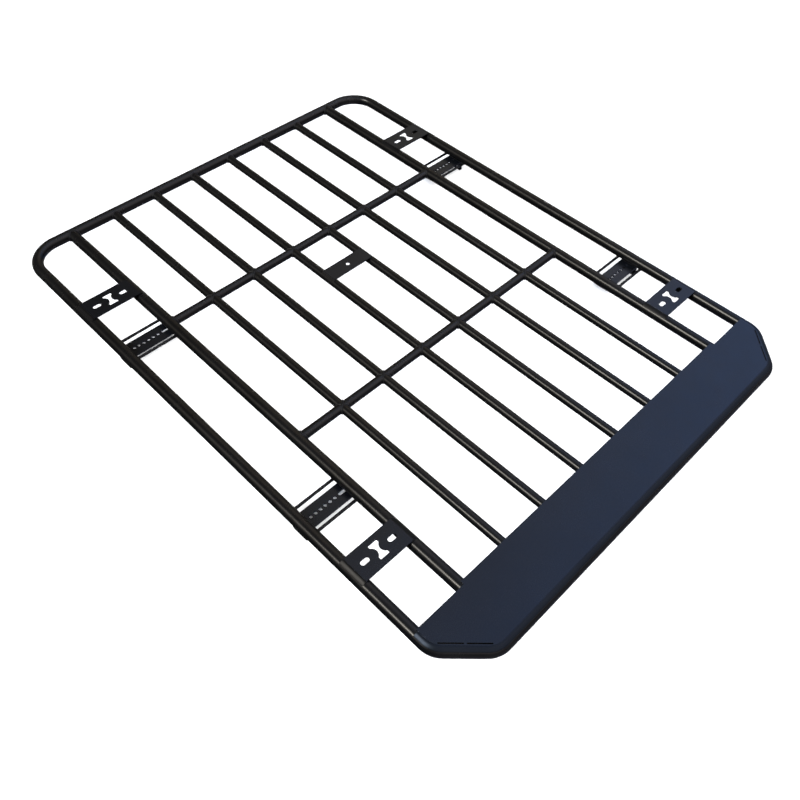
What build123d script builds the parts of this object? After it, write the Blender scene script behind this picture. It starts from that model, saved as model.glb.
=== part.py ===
from build123d import *
import math
import os

# Flat platform roof rack, welded from round steel tube and cut steel sheet.
# X runs across the rack, Y towards its rear and Z up. The origin is on the floor, under the middle.

# Tubes
rail_diameter = 32.0
rail_wall = 1.8
bar_diameter = 25.0
bar_wall = 1.5
tie_rod_diameter = 8.0
weld_gap = 0.2

# Frame plan, between tube centre lines
side_rail_spacing = 1288.0
inner_rail_spacing = 996.0
frame_length = 1726.0
rear_bend_radius = 90.0
front_bend_radius = 55.0
front_chamfer_leg = 96.0
hoop_tail = 20.0
deck_bar_count = 6
rear_cross_inset = 506.0
front_cross_inset = 686.0

# Front deck plate
deck_plate_depth = 152.0
deck_plate_side_step = 9.0
deck_plate_thickness = 2.5
deck_plate_edge_inset = 2.5
deck_slit_width = 3.0
deck_slit_gap = 5.0
deck_slit_inset = 7.0
deck_slit_end_margin = 11.0

# Slotted corner plates, on top of the side and inner rails
corner_plate_width = 74.0
corner_plate_thickness = 3.0
corner_plate_edge_inset = 2.5
corner_plate_rear_inset = 333.0
corner_plate_front_inset = 328.0
corner_slot_length = 24.0
corner_slot_width = 13.0
corner_slot_spacing = 82.0
cutout_length = 43.0
cutout_width = 26.0
cutout_web = 10.0
cutout_side_radius = 16.0
cutout_corner_radius = 2.0

# Foot brackets, under the side and inner rails
foot_rear_inset = 501.0
foot_front_inset = 510.0
foot_width = 52.0
foot_thickness = 4.0
foot_height = 38.0
foot_bend_radius = 5.0
foot_inner_overlap = 4.0
foot_outer_overlap = 1.0
foot_corner_radius = 5.0
foot_slot_length = 26.0
foot_slot_inset = 20.0
foot_hole_diameter = 9.0
foot_hole_pitch = 14.5
foot_hole_count = 7
foot_first_hole_inset = 44.0
tab_slot_length = 22.0
tab_slot_width = 7.0
tab_slot_spacing = 14.0
tab_lower_slot_height = 10.0
tab_corner_radius = 8.0

# Tie rods beside each foot bracket
tie_rod_spacing = 80.0
tie_rod_drop = 14.5

# Centre plate, on the two middle deck bars
centre_plate_inset = 668.0
centre_plate_width = 51.0
centre_plate_thickness = 3.0
centre_plate_overlap = 2.5
centre_hole_diameter = 12.0

# Worked out from the driving dimensions
rail_radius = rail_diameter / 2
bar_radius = bar_diameter / 2
side_x = side_rail_spacing / 2
inner_x = inner_rail_spacing / 2
rear_y = frame_length / 2
front_y = -frame_length / 2
tube_z = foot_height + weld_gap + rail_radius
rail_top_z = tube_z + rail_radius + weld_gap
bar_top_z = tube_z + bar_radius + weld_gap
rail_bottom_z = tube_z - rail_radius - weld_gap
rear_cross_y = rear_y - rear_cross_inset
front_cross_y = front_y + front_cross_inset
rear_joint_y = rear_y - rear_bend_radius - hoop_tail
chamfer_rear_y = front_y + front_chamfer_leg
front_joint_y = chamfer_rear_y + front_bend_radius * math.tan(math.radians(22.5)) + hoop_tail
bar_pitch = inner_rail_spacing / (deck_bar_count + 1)
bar_xs = [-inner_x + bar_pitch * (number + 1) for number in range(deck_bar_count)]
frame_plane = Plane.XY.offset(tube_z)
sides = {"left": -1, "right": 1}

os.makedirs("parts", exist_ok=True)


def save(part, name):
    part.label = name
    export_step(part, f"parts/{name}.step")


def straight_tube(start, end, diameter, wall, seats=()):
    # A tube from start to end, its ends coped to the tubes that it is welded to
    run = Vector(*end) - Vector(*start)
    with BuildPart() as tube:
        with BuildSketch(Plane(origin=start, z_dir=run)):
            Circle(diameter / 2)
            if wall:
                Circle(diameter / 2 - wall, mode=Mode.SUBTRACT)
        extrude(amount=run.length)
        for seat_start, seat_end, seat_diameter in seats:
            seat_run = Vector(*seat_end) - Vector(*seat_start)
            with BuildSketch(Plane(origin=seat_start, z_dir=seat_run)):
                Circle(seat_diameter / 2 + weld_gap)
            extrude(amount=seat_run.length, mode=Mode.SUBTRACT)
    return tube.part


# Centre lines that other tubes are welded to, each with its diameter
rear_tube_line = ((-side_x, rear_y, tube_z), (side_x, rear_y, tube_z), rail_diameter)
front_tube_line = ((-side_x, front_y, tube_z), (side_x, front_y, tube_z), rail_diameter)
rear_cross_line = ((-inner_x, rear_cross_y, tube_z), (inner_x, rear_cross_y, tube_z), bar_diameter)
front_cross_line = ((-inner_x, front_cross_y, tube_z), (inner_x, front_cross_y, tube_z), bar_diameter)


def side_rail_line(side):
    return ((side * side_x, front_joint_y, tube_z), (side * side_x, rear_joint_y, tube_z), rail_diameter)


def inner_rail_line(side):
    return ((side * inner_x, front_y, tube_z), (side * inner_x, rear_y, tube_z), rail_diameter)


# Rear hoop: the rear tube with its two bends
with BuildPart() as rear_hoop:
    with BuildLine(frame_plane) as rear_path:
        FilletPolyline(
            (-side_x, rear_joint_y),
            (-side_x, rear_y),
            (side_x, rear_y),
            (side_x, rear_joint_y),
            radius=rear_bend_radius,
        )
    with BuildSketch(Plane(origin=rear_path.line @ 0, z_dir=rear_path.line % 0)):
        Circle(rail_radius)
        Circle(rail_radius - rail_wall, mode=Mode.SUBTRACT)
    sweep(path=rear_path.line)
save(rear_hoop.part, "rear_hoop")

# Front hoop: the front tube with a chamfered corner at each end
with BuildPart() as front_hoop:
    with BuildLine(frame_plane) as front_path:
        FilletPolyline(
            (-side_x, front_joint_y),
            (-side_x, chamfer_rear_y),
            (-side_x + front_chamfer_leg, front_y),
            (side_x - front_chamfer_leg, front_y),
            (side_x, chamfer_rear_y),
            (side_x, front_joint_y),
            radius=front_bend_radius,
        )
    with BuildSketch(Plane(origin=front_path.line @ 0, z_dir=front_path.line % 0)):
        Circle(rail_radius)
        Circle(rail_radius - rail_wall, mode=Mode.SUBTRACT)
    sweep(path=front_path.line)
save(front_hoop.part, "front_hoop")

# Side rails between the hoops, and inner rails from the rear tube to the front tube
for side_name, side in sides.items():
    rail_start, rail_end, diameter = side_rail_line(side)
    side_rail = straight_tube(rail_start, rail_end, diameter, rail_wall)
    save(side_rail, f"{side_name}_side_rail")
    rail_start, rail_end, diameter = inner_rail_line(side)
    inner_rail = straight_tube(rail_start, rail_end, diameter, rail_wall, (rear_tube_line, front_tube_line))
    save(inner_rail, f"{side_name}_inner_rail")

# Cross tubes between the inner rails
inner_rail_lines = (inner_rail_line(-1), inner_rail_line(1))
for cross_name, cross_line in (("rear", rear_cross_line), ("front", front_cross_line)):
    cross_start, cross_end, diameter = cross_line
    cross_tube = straight_tube(cross_start, cross_end, diameter, bar_wall, inner_rail_lines)
    save(cross_tube, f"{cross_name}_cross_tube")

# Deck bars, each in three lengths between the rear tube, the cross tubes and the front tube
bar_bays = {
    "rear": (rear_tube_line, rear_cross_line),
    "middle": (rear_cross_line, front_cross_line),
    "front": (front_cross_line, front_tube_line),
}
for number, bar_x in enumerate(bar_xs, start=1):
    for bay_name, (rear_seat, front_seat) in bar_bays.items():
        bar_rear_y = rear_seat[0][1]
        bar_front_y = front_seat[0][1]
        deck_bar = straight_tube(
            (bar_x, bar_front_y, tube_z),
            (bar_x, bar_rear_y, tube_z),
            bar_diameter,
            bar_wall,
            (rear_seat, front_seat),
        )
        save(deck_bar, f"deck_bar_{number}_{bay_name}")

# Front deck plate: a flat sheet that follows the front hoop just inside the crown of its tube.
# Its rear edge steps forward in the two side bays.
chamfer_length = front_chamfer_leg * math.sqrt(2)
deck_slit_length = (chamfer_length - deck_slit_gap) / 2 - deck_slit_end_margin
deck_slit_x = side_x - front_chamfer_leg / 2 - deck_slit_inset / math.sqrt(2)
deck_slit_y = front_y + front_chamfer_leg / 2 + deck_slit_inset / math.sqrt(2)
deck_outline_rear_y = chamfer_rear_y + 2 * front_bend_radius + deck_plate_depth
with BuildPart() as front_deck_plate:
    with BuildSketch(Plane.XY.offset(rail_top_z)):
        with BuildLine():
            outline = FilletPolyline(
                (-side_x, deck_outline_rear_y),
                (-side_x, chamfer_rear_y),
                (-side_x + front_chamfer_leg, front_y),
                (side_x - front_chamfer_leg, front_y),
                (side_x, chamfer_rear_y),
                (side_x, deck_outline_rear_y),
                radius=front_bend_radius,
            )
            Line(outline @ 1, outline @ 0)
        make_face()
        offset(amount=-deck_plate_edge_inset, mode=Mode.REPLACE)
        with Locations((0, front_y)):
            Rectangle(
                side_rail_spacing,
                deck_plate_depth,
                align=(Align.CENTER, Align.MIN),
                mode=Mode.INTERSECT,
            )
        bay_width = side_x - inner_x
        with Locations((0, front_y + deck_plate_depth)):
            with GridLocations(2 * inner_x + bay_width, 1, 2, 1):
                Rectangle(bay_width, 2 * deck_plate_side_step, mode=Mode.SUBTRACT)
        for side in sides.values():
            with Locations(Location((side * deck_slit_x, deck_slit_y, 0), (0, 0, side * 45))):
                with GridLocations(deck_slit_length + deck_slit_gap, 1, 2, 1):
                    SlotOverall(deck_slit_length, deck_slit_width, mode=Mode.SUBTRACT)
    extrude(amount=deck_plate_thickness)
save(front_deck_plate.part, "front_deck_plate")

# Slotted corner plates: two oval slots beside a waisted cut-out
corner_plate_length = side_x - inner_x - 2 * corner_plate_edge_inset
corner_plate_ys = {
    "rear": rear_y - corner_plate_rear_inset,
    "front": front_y + corner_plate_front_inset,
}
waist_x = cutout_web / 2 + cutout_side_radius
for end_name, plate_y in corner_plate_ys.items():
    for side_name, side in sides.items():
        plate_x = side * (inner_x + side_x) / 2
        with BuildSketch() as waisted_cutout:
            Rectangle(cutout_width, cutout_length)
            fillet(waisted_cutout.vertices(), radius=cutout_corner_radius)
            with Locations((-waist_x, 0), (waist_x, 0)):
                Circle(cutout_side_radius, mode=Mode.SUBTRACT)
        with BuildPart() as corner_plate:
            with BuildSketch(Plane.XY.offset(rail_top_z)):
                with Locations((plate_x, plate_y)):
                    Rectangle(corner_plate_length, corner_plate_width)
                    add(waisted_cutout.sketch, mode=Mode.SUBTRACT)
                    with GridLocations(corner_slot_spacing, 1, 2, 1):
                        SlotOverall(corner_slot_length, corner_slot_width, mode=Mode.SUBTRACT)
            extrude(amount=corner_plate_thickness)
        save(corner_plate.part, f"corner_plate_{end_name}_{side_name}")

# Foot brackets with their tie rods: a perforated plate under the rails, folded down at its outer end
foot_ys = {
    "rear": rear_y - foot_rear_inset,
    "front": front_y + foot_front_inset,
}
foot_inner_x = inner_x - foot_inner_overlap
foot_outer_x = side_x + foot_outer_overlap
foot_mid_z = rail_bottom_z - foot_thickness / 2
tab_mid_x = foot_outer_x - foot_thickness / 2
foot_slot_x = foot_inner_x + foot_slot_inset
foot_hole_xs = [
    foot_inner_x + foot_first_hole_inset + foot_hole_pitch * number for number in range(foot_hole_count)
]
tab_slot_zs = (tab_lower_slot_height, tab_lower_slot_height + tab_slot_spacing)
for end_name, foot_y in foot_ys.items():
    for side_name, side in sides.items():
        with BuildPart() as foot_bracket:
            with BuildSketch(Plane.XZ.offset(-foot_y)):
                with BuildLine():
                    FilletPolyline(
                        (side * foot_inner_x, foot_mid_z),
                        (side * tab_mid_x, foot_mid_z),
                        (side * tab_mid_x, 0),
                        radius=foot_bend_radius,
                    )
                trace(line_width=foot_thickness)
            extrude(amount=foot_width / 2, both=True)
            tab_corners = foot_bracket.edges().filter_by(Axis.X).group_by(Axis.Z)[0]
            fillet(tab_corners, radius=tab_corner_radius)
            inner_corners = foot_bracket.edges().filter_by(Axis.Z).sort_by(lambda edge: abs(edge.center().X))[:2]
            fillet(inner_corners, radius=foot_corner_radius)
            with BuildSketch(Plane.XY.offset(foot_mid_z)):
                with Locations((side * foot_slot_x, foot_y)):
                    SlotOverall(foot_slot_length, foot_hole_diameter)
                with Locations([(side * hole_x, foot_y) for hole_x in foot_hole_xs]):
                    Circle(foot_hole_diameter / 2)
            extrude(amount=foot_thickness, both=True, mode=Mode.SUBTRACT)
            with BuildSketch(Plane.YZ.offset(side * tab_mid_x)):
                with Locations([(foot_y, slot_z) for slot_z in tab_slot_zs]):
                    SlotOverall(tab_slot_length, tab_slot_width)
            extrude(amount=foot_thickness, both=True, mode=Mode.SUBTRACT)
        save(foot_bracket.part, f"foot_bracket_{end_name}_{side_name}")

        rod_seats = (side_rail_line(side), inner_rail_line(side))
        rod_z = tube_z - tie_rod_drop
        for rod_name, direction in (("behind", 1), ("ahead", -1)):
            rod_y = foot_y + direction * tie_rod_spacing / 2
            tie_rod = straight_tube(
                (side * inner_x, rod_y, rod_z),
                (side * side_x, rod_y, rod_z),
                tie_rod_diameter,
                0,
                rod_seats,
            )
            save(tie_rod, f"tie_rod_{end_name}_{side_name}_{rod_name}")

# Centre plate across the two middle deck bars
centre_y = rear_y - centre_plate_inset
centre_plate_length = bar_pitch + 2 * centre_plate_overlap
with BuildPart() as centre_plate:
    with BuildSketch(Plane.XY.offset(bar_top_z)):
        with Locations((0, centre_y)):
            Rectangle(centre_plate_length, centre_plate_width)
            Circle(centre_hole_diameter / 2, mode=Mode.SUBTRACT)
    extrude(amount=centre_plate_thickness)
save(centre_plate.part, "centre_plate")
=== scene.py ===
import math
import random

import bpy
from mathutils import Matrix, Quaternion, Vector


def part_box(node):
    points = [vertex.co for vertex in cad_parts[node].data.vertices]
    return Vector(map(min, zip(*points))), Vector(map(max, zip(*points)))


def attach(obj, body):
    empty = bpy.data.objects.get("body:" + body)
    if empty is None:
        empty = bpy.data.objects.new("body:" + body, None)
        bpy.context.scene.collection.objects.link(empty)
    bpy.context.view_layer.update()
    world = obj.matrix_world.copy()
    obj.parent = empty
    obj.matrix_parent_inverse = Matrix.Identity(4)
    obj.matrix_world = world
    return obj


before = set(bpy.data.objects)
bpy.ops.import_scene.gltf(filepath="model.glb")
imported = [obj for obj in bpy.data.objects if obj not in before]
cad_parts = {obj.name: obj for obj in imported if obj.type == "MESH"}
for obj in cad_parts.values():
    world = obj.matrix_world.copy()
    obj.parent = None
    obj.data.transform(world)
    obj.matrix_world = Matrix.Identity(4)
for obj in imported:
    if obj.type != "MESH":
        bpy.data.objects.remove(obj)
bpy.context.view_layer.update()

# Finish, welds and studio of a flat platform roof rack.
# Lengths are in metres. X runs across the rack, Y towards its rear and Z up.
ALONG_X = Vector((1, 0, 0))
ALONG_Y = Vector((0, 1, 0))
UP = Vector((0, 0, 1))
SIDES = {"left": -1, "right": 1}
ENDS = ("rear", "front")

# Camera, at the photograph's viewing angle. The photograph is a crop, so the lens is shifted.
CAMERA_PLACE = Vector((-1.2561, -1.2486, 1.8201))
CAMERA_TARGET = Vector((0.0185, -0.0894, 0.054))
CAMERA_ROLL = math.radians(3.09)
CAMERA_LENS = 40.11
SENSOR_WIDTH = 36.0
LENS_SHIFT = (-0.0276, -0.1058)
VIEW_TURN = (CAMERA_TARGET - CAMERA_PLACE).normalized().to_track_quat("-Z", "Y")

# Paint. Each coat goes in clouds from a dark shade to a lighter one. A spread is the stretch of a pattern's
# values over which a change runs.
NEUTRAL_BLACK = ((0.006, 0.006, 0.006), (0.012, 0.012, 0.012))
BLUE_BLACK = ((0.006, 0.007, 0.009), (0.012, 0.0135, 0.016))
CLOUD_SCALE = 9.0
CLOUD_SPREAD = (0.3, 0.7)
GLOSS_SCALE = 26.0
GLOSS_SPREAD = (0.25, 0.75)
PEEL_STRENGTH = 0.35
DUST_COLOUR = (0.07, 0.07, 0.074)
DUST_SCALE = 320.0
DUST_SPREAD = (0.45, 0.8)
DUST_SLOPE = (0.6, 1.0)
DUST_SHARE = 0.10
EDGE_RADIUS = 0.0009
EDGE_SAMPLES = 4
EDGE_TURN = (0.97, 0.80)
RUB_COLOUR = (0.04, 0.04, 0.04)
RUB_SCALE = 75.0
RUB_SPREAD = (0.40, 0.70)
RUB_SHARE = 0.6
# Tints of the coats' reflections. The warm ones paint a warm cast into the reflections of tubes and welds,
# standing in for light off a warm ground; the cool one paints a blue cast into the reflections of the deck's
# edge weld.
WHITE_TINT = (1.0, 1.0, 1.0)
WARM_TINT = (1.0, 0.86, 0.66)
PALE_WARM_TINT = (1.0, 0.88, 0.72)
COOL_TINT = (0.84, 0.93, 1.0)

# Weld beads. Half the width and half the height are in legs, and the lift out of the corner in half heights.
BAR_WELD_LEG = 0.0035
RAIL_WELD_LEG = 0.0040
ROD_WELD_LEG = 0.0025
FOOT_WELD_LEG = 0.0020
BEAD_SIDES = 8
BEAD_HALF_WIDTH = 0.75
BEAD_HALF_HEIGHT = 0.6
BEAD_LIFT = 0.35
BEAD_SWELL = (0.9, 1.1)
SHALLOW_DEPTH = 0.35
RIPPLE_PITCH = 0.0024
RIPPLE_DEPTH = 0.16
RIPPLE_LEVEL = 0.6
RIPPLE_STEPS = 6
FOOT_WELD_MARGIN = 0.003
FOOT_WELD_OFFSET = 0.0065
FOOT_WELD_LIFT = FOOT_WELD_LEG / 3
FOOT_WELD_RISE = 0.4
SEAT_TOLERANCE = 1e-5
SHARP_ANGLE = math.radians(50.0)

# Ground welds that carry the edge of a plate down on to the tube under it
FRONT_CHAMFER_LEG = 0.096
FRONT_BEND_RADIUS = 0.055
GROUND_WELD_ANGLE = math.radians(38.0)
GROUND_WELD_STEPS = 8
BEND_STEPS = 12

# Floor, backdrop and the lamp at the camera's place
FLOOR_SIZE = 60.0
FLOOR_COLOUR = (0.93, 0.93, 0.93)
BACKDROP_COLOUR = (0.0, 0.0, 0.0)
BACKDROP_GLOW = 1.0
BACKDROP_RADIUS = 28.0
BACKDROP_HEIGHT = 14.0
BACKDROP_SIDES = 64
STUDIO_ROUGHNESS = 0.9
FRONT_LAMP_SIZE = 2.6
FRONT_LAMP_POWER = 40.0

# Sky. A stop of the dome is a height, from 0 straight down to 1 straight up, and a glow.
DOME_SPREAD = (-1.0, 1.0)
DOME_HORIZON = (0.50, 0.22)
DOME_LOW = (0.65, 0.30)
DOME_HIGH = (0.84, 1.0)
BRIGHT_SIDE = Vector((0.6, -0.8, 0.0))
BRIGHT_SIDE_SPREAD = (-0.40, 0.30)
BRIGHT_SIDE_GAIN = (0.10, 1.28)
FAR_SIDE = Vector((0.3, 0.95, 0.0))
FAR_SIDE_SPREAD = (0.50, 0.95)
FAR_SIDE_GLOW = (0.0, 0.22)
FAR_SIDE_HEIGHTS = (0.45, 0.05)
MIDDLE_HUE = (0.44, 0.67, 1.32)
REAR_HUE = (0.85, 0.79, 0.71)
REAR_SPREAD = (0.22, 0.36)
FRONT_HUE = (0.74, 0.80, 1.08)
FRONT_SPREAD = (0.08, -0.15)


# Shader nodes
def shader_node(tree, kind, **settings):
    node = tree.nodes.new(kind)
    for name, value in settings.items():
        setattr(node, name, value)
    return node


def value_ramp(tree, source, spread, result=(0.0, 1.0)):
    # A value carried over from the spread to the range of the result
    ramp = shader_node(tree, "ShaderNodeMapRange")
    ramp.inputs["From Min"].default_value, ramp.inputs["From Max"].default_value = spread
    ramp.inputs["To Min"].default_value, ramp.inputs["To Max"].default_value = result
    tree.links.new(source, ramp.inputs["Value"])
    return ramp.outputs["Result"]


def noise(tree, place, scale, detail, roughness=0.5):
    texture = shader_node(tree, "ShaderNodeTexNoise")
    texture.inputs["Scale"].default_value = scale
    texture.inputs["Detail"].default_value = detail
    texture.inputs["Roughness"].default_value = roughness
    tree.links.new(place, texture.inputs["Vector"])
    return texture.outputs["Fac"]


def product(tree, first, second):
    times = shader_node(tree, "ShaderNodeMath", operation="MULTIPLY")
    tree.links.new(first, times.inputs[0])
    tree.links.new(second, times.inputs[1])
    return times.outputs["Value"]


def blend_colour(tree, factor, under, over):
    # Each colour is a constant or the result of another blend
    mix = shader_node(tree, "ShaderNodeMix", data_type="RGBA")
    for socket, colour in (("A", under), ("B", over)):
        if isinstance(colour, tuple):
            mix.inputs[socket].default_value = (*colour, 1.0)
        else:
            tree.links.new(colour, mix.inputs[socket])
    tree.links.new(factor, mix.inputs["Factor"])
    return mix.outputs["Result"]


# Powder coat
def dusted(tree, place, normal, colour):
    # A little dust, in specks, on faces that look up
    split = shader_node(tree, "ShaderNodeSeparateXYZ")
    tree.links.new(normal, split.inputs["Vector"])
    upward = value_ramp(tree, split.outputs["Z"], DUST_SLOPE, (0.0, DUST_SHARE))
    specks = value_ramp(tree, noise(tree, place, DUST_SCALE, detail=2.0), DUST_SPREAD)
    return blend_colour(tree, product(tree, upward, specks), colour, DUST_COLOUR)


def rubbed(tree, place, normal, soft_normal, colour):
    # Paint rubbed grey in patches along the edges, where the softened normal turns away from the face's own
    turned = shader_node(tree, "ShaderNodeVectorMath", operation="DOT_PRODUCT")
    tree.links.new(soft_normal, turned.inputs[0])
    tree.links.new(normal, turned.inputs[1])
    edge = value_ramp(tree, turned.outputs["Value"], EDGE_TURN)
    patches = noise(tree, place, RUB_SCALE, detail=3.0, roughness=0.6)
    rub = value_ramp(tree, patches, RUB_SPREAD, (0.0, RUB_SHARE))
    return blend_colour(tree, product(tree, edge, rub), colour, RUB_COLOUR)


def orange_peel(tree, place, soft_normal, scale, depth):
    peel = shader_node(tree, "ShaderNodeBump")
    peel.inputs["Strength"].default_value = PEEL_STRENGTH
    peel.inputs["Distance"].default_value = depth
    tree.links.new(noise(tree, place, scale, detail=2.0, roughness=0.4), peel.inputs["Height"])
    tree.links.new(soft_normal, peel.inputs["Normal"])
    return peel.outputs["Normal"]


def powder_coat(name, shades, roughness, shine, shine_tint, peel_scale, peel_depth):
    # Satin black powder coat: cloudy colour and gloss, a little dust, softened and rubbed edges, orange peel
    material = bpy.data.materials.new(name)
    material.use_nodes = True
    tree = material.node_tree
    tree.nodes.clear()
    output = shader_node(tree, "ShaderNodeOutputMaterial")
    coat = shader_node(tree, "ShaderNodeBsdfPrincipled")
    # The shine tint colours the reflections: a painted cast of reflected light, not a colour of the paint
    coat.inputs["Specular IOR Level"].default_value = shine
    coat.inputs["Specular Tint"].default_value = (*shine_tint, 1.0)
    tree.links.new(coat.outputs["BSDF"], output.inputs["Surface"])
    place = shader_node(tree, "ShaderNodeTexCoord").outputs["Object"]
    normal = shader_node(tree, "ShaderNodeNewGeometry").outputs["Normal"]
    soft_edge = shader_node(tree, "ShaderNodeBevel", samples=EDGE_SAMPLES)
    soft_edge.inputs["Radius"].default_value = EDGE_RADIUS
    soft_normal = soft_edge.outputs["Normal"]

    clouds = value_ramp(tree, noise(tree, place, CLOUD_SCALE, detail=4.0), CLOUD_SPREAD)
    colour = blend_colour(tree, clouds, *shades)
    colour = dusted(tree, place, normal, colour)
    colour = rubbed(tree, place, normal, soft_normal, colour)
    tree.links.new(colour, coat.inputs["Base Color"])
    streaks = noise(tree, place, GLOSS_SCALE, detail=3.0, roughness=0.6)
    tree.links.new(value_ramp(tree, streaks, GLOSS_SPREAD, roughness), coat.inputs["Roughness"])
    peel = orange_peel(tree, place, soft_normal, peel_scale, peel_depth)
    tree.links.new(peel, coat.inputs["Normal"])
    return material


# The tube, weld and seam coats get a warm shine tint, a painted warm cast on their reflections
tube_coat = powder_coat(
    "tube_coat",
    shades=NEUTRAL_BLACK,
    roughness=(0.22, 0.30),
    shine=0.46,
    shine_tint=WARM_TINT,
    peel_scale=620.0,
    peel_depth=0.00002,
)
plate_coat = powder_coat(
    "plate_coat",
    shades=BLUE_BLACK,
    roughness=(0.20, 0.28),
    shine=0.50,
    shine_tint=WHITE_TINT,
    peel_scale=520.0,
    peel_depth=0.0001,
)
weld_coat = powder_coat(
    "weld_coat",
    shades=NEUTRAL_BLACK,
    roughness=(0.28, 0.38),
    shine=0.42,
    shine_tint=PALE_WARM_TINT,
    peel_scale=900.0,
    peel_depth=0.0001,
)
# The edge coat's cool shine tint paints a blue cast on its reflections
edge_coat = powder_coat(
    "edge_coat",
    shades=BLUE_BLACK,
    roughness=(0.28, 0.36),
    shine=0.27,
    shine_tint=COOL_TINT,
    peel_scale=700.0,
    peel_depth=0.0001,
)
seam_coat = powder_coat(
    "seam_coat",
    shades=NEUTRAL_BLACK,
    roughness=(0.28, 0.36),
    shine=0.26,
    shine_tint=WARM_TINT,
    peel_scale=700.0,
    peel_depth=0.0001,
)

for name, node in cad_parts.items():
    coat = plate_coat if "plate" in name or "bracket" in name else tube_coat
    for index in range(len(node.material_slots)):
        node.material_slots[index].material = coat


# Weld beads
def middle(node):
    low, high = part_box(node)
    return (low + high) / 2


def tube_radius(node):
    low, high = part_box(node)
    return (high.z - low.z) / 2


def hoop_axis_y(node):
    # Where the long tube of a hoop lies: at the end of the hoop that is farther from the rack's middle
    low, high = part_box(node)
    if high.y > -low.y:
        return high.y - tube_radius(node)
    return low.y + tube_radius(node)


def saddle_stations(seat_place, seat_along, seat_radius, run, radius, drop=0.0):
    # The joint of a tube that leaves another one, its seat, along run, its axis a drop below the seat's axis.
    # Each station is a place, the way out of the corner there and how deep the corner is. Where the tube
    # reaches below its seat there is no corner, and the round starts at the bottom, so that it breaks there.
    steps = round(2 * math.pi * radius / RIPPLE_PITCH * RIPPLE_STEPS)
    stations = []
    for step in range(steps):
        angle = 2 * math.pi * step / steps - math.pi / 2
        rise = radius * math.sin(angle) - drop
        if rise < -seat_radius - SEAT_TOLERANCE:
            continue
        reach = math.sqrt(max(seat_radius**2 - rise**2, 0.0))
        tube_normal = seat_along * math.cos(angle) + UP * math.sin(angle)
        seat_normal = (run * reach + UP * rise) / seat_radius
        place = seat_place + seat_along * (radius * math.cos(angle)) + UP * rise + run * reach
        depth = SHALLOW_DEPTH + (1 - SHALLOW_DEPTH) * tube_normal.cross(seat_normal).length
        stations.append((place, (tube_normal + seat_normal).normalized(), depth))
    return stations


def straight_stations(start, end, way_out):
    steps = round((end - start).length / RIPPLE_PITCH * RIPPLE_STEPS)
    return [(start.lerp(end, step / steps), way_out.normalized(), 1.0) for step in range(steps + 1)]


def ring_faces(first, rings, sides, closed):
    # Quads between rings of vertices, with an end face at each end of an open run
    faces = []
    for ring in range(rings if closed else rings - 1):
        here = first + ring * sides
        there = first + (ring + 1) % rings * sides
        for side in range(sides):
            beside = (side + 1) % sides
            faces.append((here + side, there + side, there + beside, here + beside))
    if not closed:
        faces.append(tuple(range(first, first + sides)))
        faces.append(tuple(reversed(range(first + (rings - 1) * sides, first + rings * sides))))
    return faces


def bead_rings(stations, leg, closed, chance):
    # A rippled bead along the stations, a little uneven in size from joint to joint as hand welds are
    phase = chance.random()
    swell = chance.uniform(*BEAD_SWELL)
    rings = []
    for index, (place, way_out, depth) in enumerate(stations):
        before = stations[index - 1][0] if closed or index else place
        after = stations[(index + 1) % len(stations)][0] if closed or index + 1 < len(stations) else place
        across = (after - before).cross(way_out).normalized()
        ripple = abs(math.sin(math.pi * (index / RIPPLE_STEPS + phase)))
        size = leg * swell * (1.0 + RIPPLE_DEPTH * (ripple - RIPPLE_LEVEL))
        for side in range(BEAD_SIDES):
            angle = 2 * math.pi * side / BEAD_SIDES
            sideways = across * (BEAD_HALF_WIDTH * size * math.cos(angle))
            outward = way_out * (BEAD_HALF_HEIGHT * size * depth * (math.sin(angle) + BEAD_LIFT))
            rings.append(place + sideways + outward)
    return rings


def add_piece(name, vertices, faces, material):
    mesh = bpy.data.meshes.new(name)
    mesh.from_pydata(vertices, [], faces)
    mesh.polygons.foreach_set("use_smooth", [True] * len(mesh.polygons))
    mesh.set_sharp_from_angle(angle=SHARP_ANGLE)
    mesh.materials.append(material)
    mesh.update()
    piece = bpy.data.objects.new(name, mesh)
    bpy.context.scene.collection.objects.link(piece)
    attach(piece, "root")


def add_welds(name, joints, leg, closed, seed):
    # One piece with a bead for each joint
    chance = random.Random(seed)
    vertices = []
    faces = []
    for stations in joints:
        faces += ring_faces(len(vertices), len(stations), BEAD_SIDES, closed)
        vertices += bead_rings(stations, leg, closed, chance)
    add_piece(name, vertices, faces, weld_coat)


cross_seats = {
    "rear_hoop": hoop_axis_y("rear_hoop"),
    "rear_cross_tube": middle("rear_cross_tube").y,
    "front_cross_tube": middle("front_cross_tube").y,
    "front_hoop": hoop_axis_y("front_hoop"),
}


def lengthwise_joints(node, rear_seat, front_seat):
    # The two ends of a tube that lies along Y between two crosswise tubes
    tube = middle(node)
    joints = []
    for seat, run in ((rear_seat, -ALONG_Y), (front_seat, ALONG_Y)):
        place = Vector((tube.x, cross_seats[seat], tube.z))
        joints.append(saddle_stations(place, ALONG_X, tube_radius(seat), run, tube_radius(node)))
    return joints


def crosswise_joints(node, left_seat, right_seat):
    # The two ends of a tube or rod that lies along X between two lengthwise rails
    tube = middle(node)
    joints = []
    for seat, run in ((left_seat, ALONG_X), (right_seat, -ALONG_X)):
        rail = middle(seat)
        place = Vector((rail.x, tube.y, rail.z))
        joints.append(
            saddle_stations(place, ALONG_Y, tube_radius(seat), run, tube_radius(node), rail.z - tube.z)
        )
    return joints


bar_seats = {
    "rear": ("rear_hoop", "rear_cross_tube"),
    "middle": ("rear_cross_tube", "front_cross_tube"),
    "front": ("front_cross_tube", "front_hoop"),
}
bar_joints = []
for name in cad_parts:
    if name.startswith("deck_bar_"):
        bar_joints += lengthwise_joints(name, *bar_seats[name.split("_")[-1]])
add_welds("deck_bar_welds", bar_joints, BAR_WELD_LEG, closed=True, seed=1)

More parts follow.
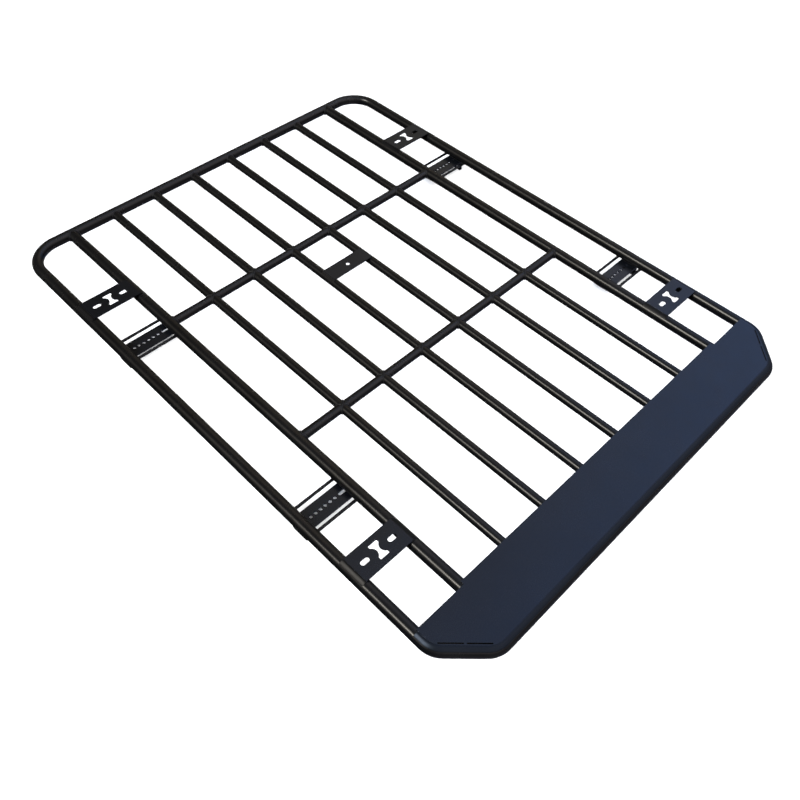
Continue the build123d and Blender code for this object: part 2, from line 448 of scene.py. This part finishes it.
rail_joints = []
for side_name in SIDES:
    rail_joints += lengthwise_joints(f"{side_name}_inner_rail", "rear_hoop", "front_hoop")
for end_name in ENDS:
    rail_joints += crosswise_joints(f"{end_name}_cross_tube", "left_inner_rail", "right_inner_rail")
add_welds("rail_welds", rail_joints, RAIL_WELD_LEG, closed=True, seed=2)

rod_joints = []
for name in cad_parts:
    if name.startswith("tie_rod_"):
        if "_left_" in name:
            rod_joints += crosswise_joints(name, "left_side_rail", "left_inner_rail")
        else:
            rod_joints += crosswise_joints(name, "right_inner_rail", "right_side_rail")
add_welds("tie_rod_welds", rod_joints, ROD_WELD_LEG, closed=False, seed=3)

foot_joints = []
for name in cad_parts:
    if name.startswith("foot_bracket_"):
        low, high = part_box(name)
        side_name = name.split("_")[-1]
        side = SIDES[side_name]
        bead_z = high.z + FOOT_WELD_LIFT
        for rail, way in ((f"{side_name}_inner_rail", side), (f"{side_name}_side_rail", -side)):
            bead_x = middle(rail).x + way * FOOT_WELD_OFFSET
            start = Vector((bead_x, low.y + FOOT_WELD_MARGIN, bead_z))
            end = Vector((bead_x, high.y - FOOT_WELD_MARGIN, bead_z))
            foot_joints.append(straight_stations(start, end, Vector((way, 0, FOOT_WELD_RISE))))
add_welds("foot_welds", foot_joints, FOOT_WELD_LEG, closed=False, seed=4)


# Ground welds
def rounded_path(corners, radius):
    # A line through the corners with an arc at each one: places, each with its way out to the right
    path = []
    for before, corner, after in zip(corners, corners[1:], corners[2:]):
        arriving = (corner - before).normalized()
        leaving = (after - corner).normalized()
        turn = arriving.angle(leaving)
        bend_start = corner - arriving * (radius * math.tan(turn / 2))
        out_start = UP.cross(arriving) * -1
        centre = bend_start - out_start * radius
        for step in range(BEND_STEPS + 1):
            out = Quaternion(UP, turn * step / BEND_STEPS) @ out_start
            path.append((centre + out * radius, out))
    first_out = path[0][1]
    last_out = path[-1][1]
    return [(corners[0], first_out)] + path + [(corners[-1], last_out)]


def ground_section(tube, plate_edge, plate_top):
    # From the top of a plate's edge round on to the tube, as reaches out from the tube's axis and heights
    radius = tube_radius(tube)
    axis_z = middle(tube).z
    start = Vector((plate_edge, plate_top))
    end = Vector((radius * math.sin(GROUND_WELD_ANGLE), axis_z + radius * math.cos(GROUND_WELD_ANGLE)))
    bend = Vector((end.x - (plate_top - end.y) / math.tan(GROUND_WELD_ANGLE), plate_top))
    section = []
    for step in range(GROUND_WELD_STEPS + 1):
        along = step / GROUND_WELD_STEPS
        section.append(start.lerp(bend, along).lerp(bend.lerp(end, along), along))
    return section + [Vector((plate_edge, axis_z + radius))]


def add_ground_welds(name, runs, material):
    # One piece with a strip for each run, which is a path and a section
    vertices = []
    faces = []
    for path, section in runs:
        faces += ring_faces(len(vertices), len(path), len(section), closed=False)
        for place, out in path:
            vertices += [place + out * point.x + UP * point.y for point in section]
    add_piece(name, vertices, faces, material)


plate_seats = {"centre_plate": ("deck_bar_3_middle", "deck_bar_4_middle")}
for end_name in ENDS:
    plate_seats[f"corner_plate_{end_name}_left"] = ("left_side_rail", "left_inner_rail")
    plate_seats[f"corner_plate_{end_name}_right"] = ("right_inner_rail", "right_side_rail")
plate_runs = []
for name, (left_seat, right_seat) in plate_seats.items():
    low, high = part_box(name)
    left_x = middle(left_seat).x
    left_path = [(Vector((left_x, y, 0)), -ALONG_X) for y in (high.y, low.y)]
    plate_runs.append((left_path, ground_section(left_seat, left_x - low.x, high.z)))
    right_x = middle(right_seat).x
    right_path = [(Vector((right_x, y, 0)), ALONG_X) for y in (low.y, high.y)]
    plate_runs.append((right_path, ground_section(right_seat, high.x - right_x, high.z)))
add_ground_welds("plate_welds", plate_runs, seam_coat)

deck_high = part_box("front_deck_plate")[1]
rail_x = middle("right_side_rail").x
front_y = cross_seats["front_hoop"]
corner_y = front_y + FRONT_CHAMFER_LEG
edge_rear_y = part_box("front_hoop")[1].y
edge_path = rounded_path(
    [
        Vector((-rail_x, edge_rear_y, 0)),
        Vector((-rail_x, corner_y, 0)),
        Vector((-rail_x + FRONT_CHAMFER_LEG, front_y, 0)),
        Vector((rail_x - FRONT_CHAMFER_LEG, front_y, 0)),
        Vector((rail_x, corner_y, 0)),
        Vector((rail_x, edge_rear_y, 0)),
    ],
    FRONT_BEND_RADIUS,
)
edge_section = ground_section("front_hoop", deck_high.x - rail_x, deck_high.z)
add_ground_welds("deck_edge_weld", [(edge_path, edge_section)], edge_coat)


# Floor and backdrop
def studio_piece(name, vertices, faces, colour, glow):
    # A matt piece that the rack neither mirrors nor takes light from
    paint = bpy.data.materials.new(f"{name}_paint")
    paint.use_nodes = True
    paint.cycles.emission_sampling = "NONE"
    shader = paint.node_tree.nodes["Principled BSDF"]
    shader.inputs["Base Color"].default_value = (*colour, 1.0)
    shader.inputs["Roughness"].default_value = STUDIO_ROUGHNESS
    shader.inputs["Specular IOR Level"].default_value = 0.0
    shader.inputs["Emission Color"].default_value = (1.0, 1.0, 1.0, 1.0)
    shader.inputs["Emission Strength"].default_value = glow
    mesh = bpy.data.meshes.new(name)
    mesh.from_pydata(vertices, [], faces)
    mesh.materials.append(paint)
    piece = bpy.data.objects.new(name, mesh)
    piece.visible_diffuse = False
    piece.visible_glossy = False
    bpy.context.scene.collection.objects.link(piece)
    return piece


half = FLOOR_SIZE / 2
floor_corners = [(-half, -half, 0), (half, -half, 0), (half, half, 0), (-half, half, 0)]
floor = studio_piece("floor", floor_corners, [(0, 1, 2, 3)], FLOOR_COLOUR, glow=0.0)

# The backdrop is a white wall all round, seen by the camera alone, so that no low view looks past the floor
wall_foot = []
wall_faces = []
for step in range(BACKDROP_SIDES):
    turn = Quaternion(UP, 2 * math.pi * step / BACKDROP_SIDES)
    wall_foot.append(turn @ Vector((BACKDROP_RADIUS, 0, 0)))
    beside = (step + 1) % BACKDROP_SIDES
    wall_faces.append((step, beside, BACKDROP_SIDES + beside, BACKDROP_SIDES + step))
wall_top = [place + UP * BACKDROP_HEIGHT for place in wall_foot]
backdrop = studio_piece("backdrop", wall_foot + wall_top, wall_faces, BACKDROP_COLOUR, BACKDROP_GLOW)
backdrop.visible_shadow = False


# Lamps
def add_lamp(name, lamp, turn):
    light = bpy.data.objects.new(name, lamp)
    light.rotation_mode = "QUATERNION"
    light.rotation_quaternion = turn
    bpy.context.scene.collection.objects.link(light)
    return light


def add_sun(name, towards, strength, spread_degrees, colour=(1.0, 1.0, 1.0)):
    sun = bpy.data.lights.new(name, "SUN")
    sun.energy = strength
    sun.angle = math.radians(spread_degrees)
    sun.color = colour
    return add_lamp(name, sun, Vector(towards).to_track_quat("-Z", "Y"))


fill_light = add_sun("fill_light", towards=(0.50, 0.45, -1.0), strength=4.4, spread_degrees=50.0)
add_sun(
    "streak_light",
    towards=(0.685, -0.19, -0.70),
    strength=1.6,
    spread_degrees=20.0,
    colour=(0.90, 0.99, 1.16),
)
add_sun("glow_light", towards=(0.75, -0.45, -0.48), strength=0.12, spread_degrees=40.0)

# A broad lamp at the camera's place lightens the shade that the feet throw on the floor
front_lamp = bpy.data.lights.new("front_light", "AREA")
front_lamp.shape = "DISK"
front_lamp.size = FRONT_LAMP_SIZE
front_lamp.energy = FRONT_LAMP_POWER
front_light = add_lamp("front_light", front_lamp, VIEW_TURN)
front_light.location = CAMERA_PLACE

# These two lamps light the floor alone, so that it is white round a black rack, and only the feet shade it
# from them
floor_group = bpy.data.collections.new("floor_group")
floor_group.objects.link(floor)
feet_group = bpy.data.collections.new("feet_group")
for name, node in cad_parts.items():
    if name.startswith("foot_bracket_"):
        feet_group.objects.link(node)
for floor_light in (fill_light, front_light):
    floor_light.visible_glossy = False
    floor_light.light_linking.receiver_collection = floor_group
    floor_light.light_linking.blocker_collection = feet_group

# Sky. It shows in reflections and gives no diffuse light.
world = bpy.data.worlds.new("studio")
world.use_nodes = True
bpy.context.scene.world = world
world.cycles_visibility.diffuse = False
sky = world.node_tree
background = sky.nodes["Background"]
direction = shader_node(sky, "ShaderNodeTexCoord").outputs["Generated"]
compass = shader_node(sky, "ShaderNodeSeparateXYZ")
sky.links.new(direction, compass.inputs["Vector"])


def set_stop(stop, height, glow):
    stop.position = height
    stop.color = (glow, glow, glow, 1.0)


def facing(way):
    # How far a direction of the sky points the given way
    dot = shader_node(sky, "ShaderNodeVectorMath", operation="DOT_PRODUCT")
    dot.inputs[1].default_value = way
    sky.links.new(direction, dot.inputs[0])
    return dot.outputs["Value"]


# A dome that brightens with height and towards one side, and a low glow on the far side
dome = shader_node(sky, "ShaderNodeValToRGB")
dome_stops = dome.color_ramp.elements
set_stop(dome_stops[0], *DOME_HORIZON)
set_stop(dome_stops[1], *DOME_HIGH)
set_stop(dome_stops.new(DOME_LOW[0]), *DOME_LOW)
sky.links.new(value_ramp(sky, compass.outputs["Z"], DOME_SPREAD), dome.inputs["Fac"])
bright_side = value_ramp(sky, facing(BRIGHT_SIDE), BRIGHT_SIDE_SPREAD, BRIGHT_SIDE_GAIN)
far_side = value_ramp(sky, facing(FAR_SIDE), FAR_SIDE_SPREAD, FAR_SIDE_GLOW)
near_ground = value_ramp(sky, compass.outputs["Z"], FAR_SIDE_HEIGHTS)
brightness = shader_node(sky, "ShaderNodeMath", operation="ADD")
sky.links.new(product(sky, dome.outputs["Color"], bright_side), brightness.inputs[0])
sky.links.new(product(sky, far_side, near_ground), brightness.inputs[1])
sky.links.new(brightness.outputs["Value"], background.inputs["Strength"])

# Its hue from the rear over the middle to the front
rearward = value_ramp(sky, compass.outputs["Y"], REAR_SPREAD)
forward = value_ramp(sky, compass.outputs["Y"], FRONT_SPREAD)
rear_half = blend_colour(sky, rearward, MIDDLE_HUE, REAR_HUE)
sky.links.new(blend_colour(sky, forward, rear_half, FRONT_HUE), background.inputs["Color"])
bpy.context.scene.view_settings.view_transform = "Standard"

# Camera
lens = bpy.data.cameras.new("camera")
lens.lens = CAMERA_LENS
lens.sensor_width = SENSOR_WIDTH
lens.shift_x, lens.shift_y = LENS_SHIFT
camera = bpy.data.objects.new("camera", lens)
camera.location = CAMERA_PLACE
camera.rotation_mode = "QUATERNION"
camera.rotation_quaternion = VIEW_TURN @ Quaternion(UP, CAMERA_ROLL)
bpy.context.scene.collection.objects.link(camera)
bpy.context.scene.camera = camera
